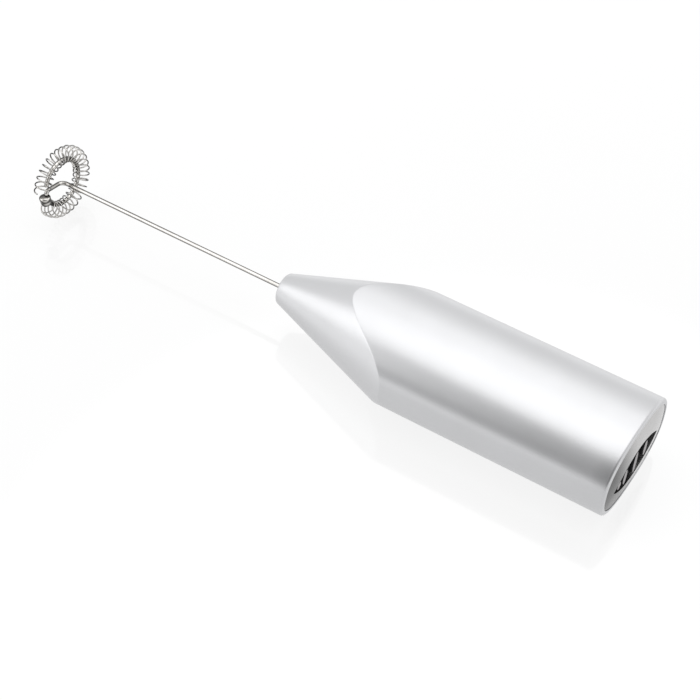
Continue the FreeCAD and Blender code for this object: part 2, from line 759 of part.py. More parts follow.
def clamp_screw(name, y):
    head = post(name + "_head", "clamp_head_r", "1", CLAMP_X, y, "axis_z - strap_ear_thick - 1")
    shank = post(name + "_shank", "clamp_r", "strap_ear_thick", CLAMP_X, y, "axis_z - strap_ear_thick")
    return fuse(name, head, shank)


group("strap_screws", *both_sides(clamp_screw, "clamp_screw", "clamp_y"))

# ---------------------------------------------------------------- nose bush, coupling and whisk

tube("nose_bush", "nose_bush_r", "wire_r + run_gap", "nose_bush_long", "nose_x + wall")
COUPLING_X = "motor_x - 14.5"
coupling_blank = rod("coupling_blank", "coupling_r", "coupling_long", COUPLING_X)
coupling_wire_bore = rod("coupling_wire_bore", "wire_r + 0.01", "6.2", f"{COUPLING_X} - 0.2")
coupling_shaft_bore = rod("coupling_shaft_bore", "shaft_r", "7", f"{COUPLING_X} + 5.5")
cut("shaft_coupling", coupling_blank, coupling_wire_bore, coupling_shaft_bore)


def ring_point(radius, degrees, out=0.0):
    """Point in the whisk's hoop plane, which leans by ring_tilt about Y."""
    angle = math.radians(degrees)
    lean = math.radians(size("ring_tilt"))
    up = radius * math.sin(angle)
    x = size("ring_x") + out * math.cos(lean) + up * math.sin(lean)
    z = size("axis_z") + up * math.cos(lean) - out * math.sin(lean)
    return Vector(x, radius * math.cos(angle), z)


def tangent_arc(before, corner, after, radius):
    """Arc of this radius that rounds the corner of two runs."""
    back = (before - corner).normalize()
    ahead = (after - corner).normalize()
    half = back.getAngle(ahead) / 2
    trim = radius / math.tan(half)
    middle = corner + (back + ahead).normalize() * (radius / math.sin(half) - radius)
    return Part.Arc(corner + back * trim, middle, corner + ahead * trim)


def swept(path, radius):
    """Round wire along edges that follow one another in tangent."""
    start = path[0].valueAt(path[0].FirstParameter)
    heading = path[0].tangentAt(path[0].FirstParameter)
    disc = Part.Wire([Part.Circle(start, heading, radius).toShape()])
    return Part.Wire(path).makePipeShell([disc], True, False)


def rounded_path(points, radii):
    """Straight runs through the points, joined by tangent arcs."""
    edges = []
    last = points[0]
    for before, corner, after, radius in zip(points, points[1:], points[2:], radii):
        arc = tangent_arc(before, corner, after, radius)
        edges.append(Part.makeLine(last, arc.StartPoint))
        edges.append(arc.toShape())
        last = arc.EndPoint
    edges.append(Part.makeLine(last, points[-1]))
    return edges


HOOP_SWEEP = 338
spoke_at = size("spoke_angle")
shaft_start = Vector(size("motor_x") - size("shaft_out") - 0.1, 0, size("axis_z"))
hub = Vector(size("ring_x"), 0, size("axis_z"))
spoke_end = ring_point(size("ring_r") - size("hoop_bend_r"), spoke_at)
# the hoop leaves the spoke through a small quarter bend in its own plane
bend_turn = math.degrees(math.asin(size("hoop_bend_r") / (size("ring_r") - size("hoop_bend_r"))))
bend_run = (size("ring_r") - size("hoop_bend_r")) * math.cos(math.radians(bend_turn))
bend_start = ring_point(bend_run, spoke_at)
hoop_start = ring_point(size("ring_r"), spoke_at + bend_turn)
bend_centre = ring_point(size("ring_r") - size("hoop_bend_r"), spoke_at + bend_turn)
bend_middle = bend_centre + ((bend_start - bend_centre).normalize()
                             + (hoop_start - bend_centre).normalize()).normalize() * size("hoop_bend_r")
hub_arc = tangent_arc(shaft_start, hub, bend_start, size("bend_r"))
hoop_arc = Part.Arc(hoop_start, ring_point(size("ring_r"), spoke_at + bend_turn + HOOP_SWEEP / 2),
                    ring_point(size("ring_r"), spoke_at + bend_turn + HOOP_SWEEP))
wire_path = [
    Part.makeLine(shaft_start, hub_arc.StartPoint),
    hub_arc.toShape(),
    Part.makeLine(hub_arc.EndPoint, bend_start),
    Part.Arc(bend_start, bend_middle, hoop_start).toShape(),
    hoop_arc.toShape(),
]
feature("whisk_wire", swept(wire_path, size("wire_r")))

SLEEVE_START = spoke_at + bend_turn
SLEEVE_SWEEP = 20


def hoop_arc_edge(radius, start, sweep):
    return Part.Arc(ring_point(radius, start), ring_point(radius, start + sweep / 2),
                    ring_point(radius, start + sweep)).toShape()


# crimp that ties the hoop's two ends together, a little outside the hoop's own line
crimp = swept([hoop_arc_edge(size("sleeve_ring_r"), SLEEVE_START, SLEEVE_SWEEP)], size("sleeve_r"))
crimp_bore = swept([hoop_arc_edge(size("ring_r"), SLEEVE_START - 5, SLEEVE_SWEEP + 10)], size("wire_r"))
feature("whisk_sleeve", crimp.cut(crimp_bore))

COIL_START = SLEEVE_START + SLEEVE_SWEEP + 3
COIL_SWEEP = 360 - SLEEVE_SWEEP - 17


def coil_turn(name, number):
    """One turn of the coil spring on the hoop: it hangs outwards, its inner side on the hoop wire."""
    step = COIL_SWEEP / size("coil_turns")
    points = []
    for i in range(POINTS_PER_TURN + 1):
        round_hoop = COIL_START + step * (number + i / POINTS_PER_TURN)
        winding_angle = 2 * math.pi * i / POINTS_PER_TURN
        points.append(ring_point(size("coil_ring_r") + size("coil_r") * math.cos(winding_angle), round_hoop,
                                 size("coil_r") * math.sin(winding_angle)))
    return feature(name, bent_wire(points, size("coil_wire_r")))


group("whisk_spring", *[coil_turn(f"coil_turn{n}", n) for n in range(int(size("coil_turns")))])

# ---------------------------------------------------------------- leads

LEAD_SIDE = -16.4
TAB_Y = size("tab_y") + size("tab_thick") / 2 + size("lead_r") + 0.01
CASE_SIDE = -size("case_wide") / 2 - 0.02
tab_x = size("motor_x") + 26.2
plate_x = size("cell_x") - size("plate_gap") - size("plate_thick")
axis_z = size("axis_z")


def lead(name, points):
    """Insulated wire through the points, from one terminal to the next."""
    radii = [size("lead_bend")] * (len(points) - 2)
    return feature(name, swept(rounded_path(points, radii), size("lead_r")))


lead("lead_battery", [Vector(tab_x, TAB_Y, axis_z), Vector(tab_x, 8.8, 16.5), Vector(plate_x, 8.8, 16.5)])
lead("lead_motor", [Vector(tab_x, -TAB_Y, axis_z), Vector(tab_x + 0.5, LEAD_SIDE, 11.0),
                    Vector(33.8, LEAD_SIDE, 11.0), Vector(33.8, CASE_SIDE, 11.4)])
lead("lead_switch", [Vector(plate_x + 0.5, -12.9, 9.4), Vector(plate_x + 0.5, LEAD_SIDE, 9.4),
                     Vector(32.2, LEAD_SIDE, 9.4), Vector(32.2, CASE_SIDE, 9.8)])
doc.recompute()

# ---------------------------------------------------------------- check and write every sub-part

NODES = [
    "main_shell", "battery_door", "door_pad", "end_panel", "switch_slider", "switch_case", "switch_contacts",
    "switch_bridge", "cell_near", "cell_far", "positive_contact", "negative_contact", "bridge_contact",
    "spring_far", "spring_near", "motor_can", "front_bush", "motor_end_bell", "rear_bush", "motor_magnets",
    "rotor_core", "rotor_windings", "commutator_hub", "commutator", "motor_brushes", "motor_terminals",
    "motor_shaft", "chassis", "chassis_screws", "motor_strap", "strap_screws", "nose_bush", "shaft_coupling",
    "whisk_wire", "whisk_sleeve", "whisk_spring", "lead_battery", "lead_motor", "lead_switch",
]
for item in doc.Objects:
    if "Invalid" in item.State or "Error" in item.State:
        raise RuntimeError(f"{item.Label} failed: {item.State}")
for node in NODES:
    item = doc.getObject(node)
    item.Label = node
    shape = item.Shape
    if shape.isNull() or not shape.isValid() or not shape.Solids:
        raise RuntimeError(f"{node} has no sound solid")
    span = shape.BoundBox
    print(f"{node:18s} solids {len(shape.Solids):3d} volume {shape.Volume:10.2f} "
          f"x {span.XMin:8.2f} {span.XMax:8.2f} y {span.YMin:7.2f} {span.YMax:7.2f} "
          f"z {span.ZMin:6.2f} {span.ZMax:6.2f}")
    shape.exportStep(f"parts/{node}.step")
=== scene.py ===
import bmesh
import bpy
import json
import math
from mathutils import Matrix, Vector


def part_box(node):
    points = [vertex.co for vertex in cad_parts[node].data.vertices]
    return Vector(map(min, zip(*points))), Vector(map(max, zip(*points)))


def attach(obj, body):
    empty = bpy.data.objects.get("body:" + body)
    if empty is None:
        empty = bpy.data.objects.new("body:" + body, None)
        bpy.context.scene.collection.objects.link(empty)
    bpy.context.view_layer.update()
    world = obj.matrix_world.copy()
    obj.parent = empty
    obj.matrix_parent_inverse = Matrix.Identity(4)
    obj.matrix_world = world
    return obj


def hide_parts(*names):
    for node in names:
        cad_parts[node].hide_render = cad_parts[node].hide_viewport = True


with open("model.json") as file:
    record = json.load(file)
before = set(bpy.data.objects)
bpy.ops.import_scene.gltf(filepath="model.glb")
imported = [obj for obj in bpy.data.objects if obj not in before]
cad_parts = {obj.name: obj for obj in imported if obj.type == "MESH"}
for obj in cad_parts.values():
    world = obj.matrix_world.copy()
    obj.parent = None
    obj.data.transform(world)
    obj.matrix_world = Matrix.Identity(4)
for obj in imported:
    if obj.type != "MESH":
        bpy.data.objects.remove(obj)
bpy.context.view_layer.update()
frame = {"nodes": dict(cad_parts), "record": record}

MM = 0.001
FRAME_DIGITS = 7  # the frame's corners are stored in single precision

# ---------------------------------------------------------------- driving sizes
# a few are read from the frame, the others repeat the CAD or were fitted to the photograph

shell_low, shell_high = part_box("main_shell")
door_low, door_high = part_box("battery_door")
panel_low, panel_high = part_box("end_panel")
slider_low, slider_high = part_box("switch_slider")
shaft_low, shaft_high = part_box("motor_shaft")

NOSE_X = shell_low.x
TAIL_X = shell_high.x
AXIS_Z = (shaft_low.z + shaft_high.z) / 2
HALF_WIDE = 20.5 * MM
HALF_TALL = 13.5 * MM
OVAL_POWER = 2.44
NOSE_R = 5.0 * MM
CONE_SLOPE = 0.331
WALL = 1.6 * MM
NOSE_ROUND = 0.9 * MM
TAIL_ROUND = 0.9 * MM
CREASE_ROUND = 0.8 * MM
CREASE_STEPS = (0.25, 0.5, 0.75, 1.0)
NOSE_STEPS = 5
TAIL_STEPS = 6
CONE_ROWS = 16
FRONT_BODY_ROWS = 8
REAR_BODY_ROWS = 14
INNER_BODY_ROWS = 10
NOSE_HOLE_R = 0.95 * MM
DOOR_X = -33.0 * MM
DOOR_HALF = 13.0 * MM
DOOR_GAP = 0.15 * MM
RING_X = -167.0 * MM
RING_R = 8.0 * MM
RING_TILT = math.radians(-3.4)
COIL_RING_R = 9.65 * MM
COIL_R = 2.63 * MM
COIL_WIRE_R = 0.22 * MM
COIL_TURNS = 28
COIL_STEPS = 22
COIL_SIDES = 8
COIL_SHARE = 0.985
COIL_WANDER = 0.014
COIL_WANDER_RATE = 2.1
COIL_SLIP = 0.5
COIL_SLIP_RATE = 1.7
SPOKE_ANGLE = 169.0
HOOP_BEND_R = 1.2 * MM
SLEEVE_RING_R = 8.9 * MM
SLEEVE_R = 1.88 * MM
SLEEVE_START = SPOKE_ANGLE + math.degrees(math.asin(HOOP_BEND_R / (RING_R - HOOP_BEND_R)))
SLEEVE_SWEEP = 20.0
SLEEVE_ROWS = 18
SLEEVE_SIDES = 28
SLEEVE_END_SHARE = 0.62
SLEEVE_WAIST_DEEP = 0.06
SLEEVE_WAIST_LONG = 0.12
COIL_START_GAP = 3.0
COIL_END_GAPS = 17.0
COIL_START = SLEEVE_START + SLEEVE_SWEEP + COIL_START_GAP
COIL_SWEEP = 360.0 - SLEEVE_SWEEP - COIL_END_GAPS
RAIL_OUT = round(door_high.y, FRAME_DIGITS)
RAIL_IN = 11.6 * MM
RAIL_LOW = 4.7 * MM
RAIL_TOP = round(door_high.z, FRAME_DIGITS)
RAIL_START = 3.0 * MM
RAIL_LONG = 58.0 * MM
RAIL_FOOT = 1.0 * MM
RAIL_FOOT_Z = 1.9 * MM
LIP_LONG = 2.6 * MM
LIP_WIDE = 14.0 * MM
LIP_THICK = 0.9 * MM
LIP_BEHIND = 3 * MM
LIP_Z = WALL + 0.2 * MM
RIDGE_X = 20.0 * MM
RIDGE_PITCH = 2.4 * MM
RIDGE_WIDE = 1.2 * MM
RIDGE_LONG = 13.0 * MM
RIDGE_DEEP = 0.5 * MM
RIDGE_FLANK = 0.2 * MM
RIDGE_COUNT = 5
DOOR_ROWS = 16
DOOR_TAIL_ROWS = 4
DOOR_EDGE = 0.25 * MM
DOOR_END_INSET = 1.3 * MM
RIM = 1.72 * MM
PANEL_X = round(panel_low.x, FRAME_DIGITS)
PANEL_THICK = 2.25 * MM
DOME_TALL = 0.75 * MM
DOME_WIDE = 9.5 * MM
DOME_SHARE = 0.985
DOME_SEARCH_STEPS = 24
PANEL_COLUMNS = 120
PANEL_ROWS = 14
PANEL_SIDE_GAP = 0.02 * MM
WELL_LONG = 13.9 * MM
WELL_WIDE = 5.7 * MM
WELL_Y = -0.2 * MM
WELL_Z = AXIS_Z - 1.5 * MM
WELL_SIDE_GAP = 0.01 * MM
WELL_FLOOR_LIFT = 0.2 * MM
WELL_FLOOR_GAP = 0.1 * MM
LENS_STEPS = 40
SLIDER_X = 39.0 * MM
SLIDER_Y = -1.4 * MM
SLIDER_LONG = 10.9 * MM
SLIDER_WIDE = 5.1 * MM
SLIDER_THICK = 0.35 * MM
RIB_TOP = 40.4 * MM
RIB_THICK = 2.5 * MM
RIB_SIDES = 48
RIB_SUNK = 0.1 * MM
RIB_CROWN = 0.45 * MM
RIB_SHOULDER = 0.3
RIB_SHARES = (1.0, 1.0, 0.95, 0.86)
RIBS = ((6.0 * MM, 6.6 * MM), (-0.4 * MM, 9.6 * MM), (-6.9 * MM, 6.6 * MM), (-10.7 * MM, 3.0 * MM))
STEM_X = round(slider_low.x, FRAME_DIGITS)
STEM_LONG = 5.0 * MM
STEM_WIDE = 3.0 * MM
STEM_SUNK = 0.2 * MM

# ---------------------------------------------------------------- camera

FOCAL = 1700 / 700
CAMERA_AZIMUTH = 30.85
CAMERA_HEIGHT = 47.4
CAMERA_ROLL = 2.29
CAMERA_RANGE = 0.5062
CAMERA_TARGET = Vector((TAIL_X - 0.08926, -0.0104, AXIS_Z))
SENSOR_WIDE = 36


def add_camera():
    azimuth = math.radians(CAMERA_AZIMUTH)
    height = math.radians(CAMERA_HEIGHT)
    roll = math.radians(CAMERA_ROLL)
    reach = math.cos(height)
    back = Vector((math.sin(azimuth) * reach, -math.cos(azimuth) * reach, math.sin(height)))
    level = Vector((math.cos(azimuth), math.sin(azimuth), 0))
    rise = back.cross(level)
    right = level * math.cos(roll) + rise * math.sin(roll)
    up = rise * math.cos(roll) - level * math.sin(roll)
    data = bpy.data.cameras.new("camera")
    data.sensor_width = SENSOR_WIDE
    data.lens = SENSOR_WIDE * FOCAL
    data.clip_start = 0.01
    data.clip_end = 20
    camera = bpy.data.objects.new("camera", data)
    camera.matrix_world = Matrix.Translation(CAMERA_TARGET + back * CAMERA_RANGE) @ Matrix(
        (right, up, back)).transposed().to_4x4()
    bpy.context.scene.collection.objects.link(camera)
    bpy.context.scene.camera = camera


add_camera()

# ---------------------------------------------------------------- materials


def node(tree, kind, **values):
    made = tree.nodes.new(kind)
    for key, value in values.items():
        if key in made.inputs:
            made.inputs[key].default_value = value
        else:
            setattr(made, key, value)
    return made


def surface(name, light, dark, metallic=0.0, rough=0.4, rough_spread=0.06, patch=300, grain=6000,
            bump=0.02, coat=0.0, coat_rough=0.1, specular=0.5, painted_dark_edge=None):
    """Procedural finish: two tones in soft patches, roughness that wanders, and a fine grain bump."""
    material = bpy.data.materials.new(name)
    material.use_nodes = True
    tree = material.node_tree
    shader = tree.nodes["Principled BSDF"]
    shader.inputs["Metallic"].default_value = metallic
    shader.inputs["Coat Weight"].default_value = coat
    shader.inputs["Coat Roughness"].default_value = coat_rough
    shader.inputs["Specular IOR Level"].default_value = specular
    place = node(tree, "ShaderNodeTexCoord")
    broad = node(tree, "ShaderNodeTexNoise", Scale=patch, Detail=3.0, Roughness=0.55)
    fine = node(tree, "ShaderNodeTexNoise", Scale=grain, Detail=2.0, Roughness=0.6)
    for noise in (broad, fine):
        tree.links.new(place.outputs["Object"], noise.inputs["Vector"])
    blend = node(tree, "ShaderNodeValToRGB")
    blend.color_ramp.elements[0].position = 0.3
    blend.color_ramp.elements[0].color = (*dark, 1)
    blend.color_ramp.elements[1].position = 0.7
    blend.color_ramp.elements[1].color = (*light, 1)
    tree.links.new(broad.outputs["Fac"], blend.inputs["Fac"])
    tone = blend.outputs["Color"]
    if painted_dark_edge is not None:
        # painted dark reflection: the base colour darkens towards grazing angles, standing in for the
        # darker room that the polished wire's edges reflect
        facing = node(tree, "ShaderNodeLayerWeight", Blend=0.5)
        fall = node(tree, "ShaderNodeValToRGB")
        fall.color_ramp.elements[0].position = 0.12
        fall.color_ramp.elements[0].color = (1, 1, 1, 1)
        fall.color_ramp.elements[1].position = 0.42
        fall.color_ramp.elements[1].color = (painted_dark_edge, painted_dark_edge, painted_dark_edge, 1)
        tree.links.new(facing.outputs["Facing"], fall.inputs["Fac"])
        gloss = node(tree, "ShaderNodeMix", data_type="RGBA", blend_type="MULTIPLY")
        gloss.inputs["Factor"].default_value = 1.0
        tree.links.new(tone, gloss.inputs[6])
        tree.links.new(fall.outputs["Color"], gloss.inputs[7])
        tone = gloss.outputs[2]
    tree.links.new(tone, shader.inputs["Base Color"])
    spread = node(tree, "ShaderNodeMapRange")
    spread.inputs["To Min"].default_value = max(0.02, rough - rough_spread)
    spread.inputs["To Max"].default_value = rough + rough_spread
    tree.links.new(fine.outputs["Fac"], spread.inputs["Value"])
    tree.links.new(spread.outputs["Result"], shader.inputs["Roughness"])
    relief = node(tree, "ShaderNodeBump", Strength=bump, Distance=0.0002)
    tree.links.new(fine.outputs["Fac"], relief.inputs["Height"])
    tree.links.new(relief.outputs["Normal"], shader.inputs["Normal"])
    return material


# direction, reach and darkest share of the painted dark reflection on the tail panel
PANEL_PAINTED_DARK_WAY = Vector((0, 0.93, 0.37))
PANEL_PAINTED_DARK_REACH = 0.008
PANEL_PAINTED_DARK_LEFT = 0.1


def panel_with_painted_reflection():
    """Satin grey with a painted dark reflection: its colour deepens smoothly towards the near lower end of
    the tail panel.
    """
    material = surface("satin_grey_panel_painted_reflection", (0.49, 0.485, 0.485), (0.46, 0.455, 0.455), metallic=0.9,
                       rough=0.25, patch=120, grain=4000, bump=0.04)
    tree = material.node_tree
    shader = tree.nodes["Principled BSDF"]
    tone = shader.inputs["Base Color"].links[0].from_socket
    place = node(tree, "ShaderNodeTexCoord")
    along = node(tree, "ShaderNodeVectorMath", operation="DOT_PRODUCT")
    along.inputs[1].default_value = PANEL_PAINTED_DARK_WAY
    tree.links.new(place.outputs["Object"], along.inputs[0])
    # painted dark reflection: the base colour is scaled down smoothly towards the near lower end of the
    # panel
    depth = node(tree, "ShaderNodeMapRange", interpolation_type="SMOOTHSTEP")
    depth.inputs["From Min"].default_value = -PANEL_PAINTED_DARK_REACH
    depth.inputs["From Max"].default_value = PANEL_PAINTED_DARK_REACH
    depth.inputs["To Min"].default_value = PANEL_PAINTED_DARK_LEFT
    depth.inputs["To Max"].default_value = 1.0
    tree.links.new(along.outputs["Value"], depth.inputs["Value"])
    shade = node(tree, "ShaderNodeVectorMath", operation="SCALE")
    tree.links.new(tone, shade.inputs[0])
    tree.links.new(depth.outputs["Result"], shade.inputs["Scale"])
    tree.links.new(shade.outputs["Vector"], shader.inputs["Base Color"])
    return material


FINISHES = {
    "silver_shell": surface("satin_silver_paint", (0.585, 0.588, 0.60), (0.565, 0.568, 0.578), metallic=1.0,
                            rough=0.375, rough_spread=0.03, patch=60, grain=9000, bump=0.05),
    "foam": surface("black_foam", (0.05, 0.05, 0.05), (0.02, 0.02, 0.02), rough=0.95, grain=2500, bump=0.6),
    "grey_panel": panel_with_painted_reflection(),
    "black_switch": surface("black_switch_plastic", (0.014, 0.014, 0.015), (0.01, 0.01, 0.011), rough=0.5,
                            patch=500, grain=5000, bump=0.05, specular=0.12),
    "black_plastic": surface("black_moulding", (0.045, 0.045, 0.045), (0.03, 0.03, 0.03), rough=0.5,
                             bump=0.12),
    "brass_parts": surface("brass", (0.80, 0.62, 0.30), (0.70, 0.52, 0.24), metallic=1.0, rough=0.3),
    "cell_jacket": surface("cell_jacket", (0.10, 0.26, 0.16), (0.07, 0.20, 0.12), rough=0.28, coat=0.4),
    "plated_contact": surface("nickel_plate", (0.74, 0.73, 0.70), (0.62, 0.61, 0.58), metallic=1.0,
                              rough=0.25),
    "motor_steel": surface("motor_steel", (0.62, 0.62, 0.62), (0.50, 0.50, 0.50), metallic=1.0, rough=0.32),
    "white_nylon": surface("white_nylon", (0.82, 0.82, 0.79), (0.74, 0.74, 0.71), rough=0.45),
    "magnet": surface("dark_ferrite", (0.06, 0.06, 0.06), (0.03, 0.03, 0.03), rough=0.7, bump=0.3),
    "rotor_steel": surface("lamination_steel", (0.36, 0.36, 0.37), (0.26, 0.26, 0.27), metallic=0.9,
                           rough=0.45),
    "copper_wire": surface("enamelled_copper", (0.72, 0.34, 0.16), (0.55, 0.24, 0.10), metallic=0.9,
                           rough=0.3, grain=3000, bump=0.4),
    "screw_steel": surface("zinc_screw", (0.68, 0.68, 0.66), (0.55, 0.55, 0.54), metallic=1.0, rough=0.3),
    # stainless wire: its colour is painted darker towards its grazing edges, a painted dark reflection
    "stainless": surface("stainless_wire", (0.80, 0.78, 0.75), (0.66, 0.64, 0.61), metallic=1.0, rough=0.14,
                         rough_spread=0.04, patch=400, grain=9000, bump=0.02, painted_dark_edge=0.06),
    "red_lead": surface("red_insulation", (0.55, 0.04, 0.03), (0.42, 0.03, 0.02), rough=0.45),
    "black_lead": surface("black_insulation", (0.03, 0.03, 0.03), (0.02, 0.02, 0.02), rough=0.45),
}
WELL_BLACK = surface("well_black", (0.012, 0.012, 0.013), (0.008, 0.008, 0.009), rough=0.6, specular=0.08)
# painted sheen: the lighter grey on the rib tops stands in for the reflection that the glossy black ribs
# catch
RIB_PAINTED_SHEEN = surface("rib_tops_painted_sheen", (0.22, 0.20, 0.205), (0.17, 0.155, 0.16), rough=0.3,
                    patch=500, grain=5000)


# every CAD node takes the finish of its slot
for entry in frame["record"]["subparts"]:
    obj = frame["nodes"][entry["node"]]
    obj.data.materials.clear()
    obj.data.materials.append(FINISHES[entry["material_slot"]])
    for polygon in obj.data.polygons:
        polygon.material_index = 0

# ---------------------------------------------------------------- mesh helpers


def add_mesh(name, verts, faces, material, smooth=35):
    mesh = bpy.data.meshes.new(name)
    mesh.from_pydata([tuple(v) for v in verts], [], faces)
    mesh.validate()
    made = bpy.data.objects.new(name, mesh)
    bpy.context.scene.collection.objects.link(made)
    tidy = bmesh.new()
    tidy.from_mesh(mesh)
    bmesh.ops.remove_doubles(tidy, verts=tidy.verts, dist=1e-6)
    bmesh.ops.recalc_face_normals(tidy, faces=tidy.faces)
    limit = math.radians(smooth)
    for edge in tidy.edges:
        edge.smooth = len(edge.link_faces) == 2 and edge.calc_face_angle() < limit
    for face in tidy.faces:
        face.smooth = True
    tidy.to_mesh(mesh)
    tidy.free()
    made.data.materials.append(material)
    return made


def finish_piece(piece, body, slot, *stands_for):
    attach(piece, body)
    if stands_for:
        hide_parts(*stands_for)


# ---------------------------------------------------------------- the handle's skin


def oval(angle, inset=0.0):
    """Point of the superellipse section, as (across, up)."""
    power = 2 / OVAL_POWER
    across = math.copysign(abs(math.cos(angle)) ** power, math.cos(angle)) * (HALF_WIDE - inset)
    up = math.copysign(abs(math.sin(angle)) ** power, math.sin(angle)) * (HALF_TALL - inset)
    return across, up


def oval_angle(across):
    """Parameter of the lower point of the section at this distance across."""
    return 2 * math.pi - math.acos((across / HALF_WIDE) ** (OVAL_POWER / 2))


EDGE_ANGLE = oval_angle(DOOR_HALF)
DOOR_COLUMNS = 36
SHELL_COLUMNS = 120
door_start = 3 * math.pi - EDGE_ANGLE
ANGLES = [door_start + (EDGE_ANGLE - door_start) * i / DOOR_COLUMNS for i in range(DOOR_COLUMNS)]
shell_turn = door_start + 2 * math.pi - EDGE_ANGLE
ANGLES += [EDGE_ANGLE + shell_turn * i / SHELL_COLUMNS for i in range(SHELL_COLUMNS)]


def spaced(start, end, count):
    return [start + (end - start) * i / count for i in range(1, count + 1)]


def column(angle, inset):
    """Profile of the skin in one radial plane, nose first, as points (x, across, up)."""
    across, up = oval(angle, inset)
    reach = math.hypot(across, up)
    ways = (across / reach, up / reach)
    lean = math.atan(CONE_SLOPE)
    nose_r = NOSE_R - inset * (1 / math.cos(lean) - CONE_SLOPE)
    nose_x = NOSE_X + inset
    crease_x = nose_x + (reach - nose_r) / CONE_SLOPE
    profile = [(nose_x, NOSE_HOLE_R)]
    if inset:
        profile.append((nose_x, nose_r))
    else:
        turn = math.pi / 2 - lean
        trim = NOSE_ROUND * math.tan(turn / 2)
        centre = (nose_x + NOSE_ROUND, nose_r - trim)
        for step in range(NOSE_STEPS + 1):
            part = turn * step / NOSE_STEPS
            x = centre[0] - NOSE_ROUND * math.cos(part)
            profile.append((x, centre[1] + NOSE_ROUND * math.sin(part)))
    trim = CREASE_ROUND * math.tan(lean / 2) * 2
    before = (crease_x - trim * math.cos(lean), reach - trim * math.sin(lean))
    last = profile[-1]
    for part in spaced(0, 1, CONE_ROWS):
        profile.append((last[0] + (before[0] - last[0]) * part, last[1] + (before[1] - last[1]) * part))
    for part in CREASE_STEPS:
        # quadratic curve that rounds the crease
        x = before[0] * (1 - part) ** 2 + 2 * crease_x * part * (1 - part) + (crease_x + trim) * part ** 2
        r = before[1] * (1 - part) ** 2 + 2 * reach * part * (1 - part) + reach * part ** 2
        profile.append((x, r))
    points = [(x, ways[0] * r, ways[1] * r) for x, r in profile]
    body_start = crease_x + trim
    body_end = max(DOOR_X, body_start)
    points += [(x, across, up) for x in spaced(body_start, body_end, FRONT_BODY_ROWS)]
    return points


def tail_corner():
    """Rows round the tail's outer edge, as (x, extra inset)."""
    corner = []
    for turn in spaced(0, math.pi / 2, TAIL_STEPS):
        corner.append((TAIL_X - TAIL_ROUND * (1 - math.sin(turn)), TAIL_ROUND * (1 - math.cos(turn))))
    return corner


def tail_rows(inset):
    """Rows from the door's front edge to the tail, as (x, extra inset)."""
    if inset:
        return [(x, 0) for x in spaced(DOOR_X, TAIL_X, INNER_BODY_ROWS)]
    return [(x, 0) for x in spaced(DOOR_X, TAIL_X - TAIL_ROUND, REAR_BODY_ROWS)] + tail_corner()


def skin_rows(inset):
    """Rows of points all round: nose, cone, crease and body up to the tail."""
    columns = []
    for angle in ANGLES:
        points = column(angle, inset)
        for x, more in tail_rows(inset):
            points.append((x, *oval(angle, inset + more)))
        columns.append([Vector((x, y, max(AXIS_Z + z, inset))) for x, y, z in points])
    return columns


FRONT_ROWS = len(column(ANGLES[0], 0))
INNER_FRONT_ROWS = len(column(ANGLES[0], WALL))


def grid_faces(columns, base, front_rows, wanted):
    """Quads between neighbouring columns; wanted(column, behind) drops the door's patch."""
    count = len(columns)
    rows = len(columns[0])
    faces = []
    for c in range(count):
        following = (c + 1) % count
        for r in range(rows - 1):
            if wanted(c, r >= front_rows - 1):
                faces.append((base + c * rows + r, base + c * rows + r + 1,
                              base + following * rows + r + 1, base + following * rows + r))
    return faces


def in_door(c):
    return c < DOOR_COLUMNS


def in_shell(c, behind):
    """True where the shell has skin: everywhere but the door's columns behind its front edge."""
    return not (in_door(c) and behind)


def build_shell():
    """Main shell: outer skin, inner skin, tail rim and the edges of the door opening."""
    outer = skin_rows(0)
    inner = skin_rows(WALL)
    rows, inner_rows = len(outer[0]), len(inner[0])
    verts = [v for col in outer for v in col] + [v for col in inner for v in col]
    base = len(outer) * rows
    faces = grid_faces(outer, 0, FRONT_ROWS, in_shell)
    faces += grid_faces(inner, base, INNER_FRONT_ROWS, in_shell)
    count = len(outer)
    for c in range(count):
        following = (c + 1) % count
        out_a, out_b = c * rows, following * rows
        in_a, in_b = base + c * inner_rows, base + following * inner_rows
        if not in_door(c):
            faces.append((out_a + rows - 1, in_a + inner_rows - 1, in_b + inner_rows - 1, out_b + rows - 1))
        faces.append((out_a, in_a, in_b, out_b))
        if in_door(c):
            front, inner_front = FRONT_ROWS - 1, INNER_FRONT_ROWS - 1
            faces.append((out_a + front, in_a + inner_front, in_b + inner_front, out_b + front))
    for c in (0, DOOR_COLUMNS):
        edge_out = [c * rows + r for r in range(FRONT_ROWS - 1, rows)]
        edge_in = [base + c * inner_rows + r for r in range(INNER_FRONT_ROWS - 1, inner_rows)]
        faces.append(tuple(edge_out + edge_in[::-1]))
    shell = add_mesh("handle_shell", verts, faces, FINISHES["silver_shell"], smooth=40)
    finish_piece(shell, "housing", "silver_shell", "main_shell")


build_shell()

# ---------------------------------------------------------------- battery door


def box_mesh(low, high):
    """Corners and faces of a plain block, to be joined with others into one piece."""
    sides = [(low[axis], high[axis]) for axis in range(3)]
    verts = [Vector((x, y, z)) for x in sides[0] for y in sides[1] for z in sides[2]]
    faces = [(0, 1, 3, 2), (4, 6, 7, 5), (0, 4, 5, 1), (2, 3, 7, 6), (0, 2, 6, 4), (1, 5, 7, 3)]
    return verts, faces


def joined(blocks):
    """Corners and faces of several meshes as those of one."""
    verts, faces = [], []
    for more_verts, more_faces in blocks:
        base = len(verts)
        verts += more_verts
        faces += [tuple(base + i for i in face) for face in more_faces]
    return verts, faces


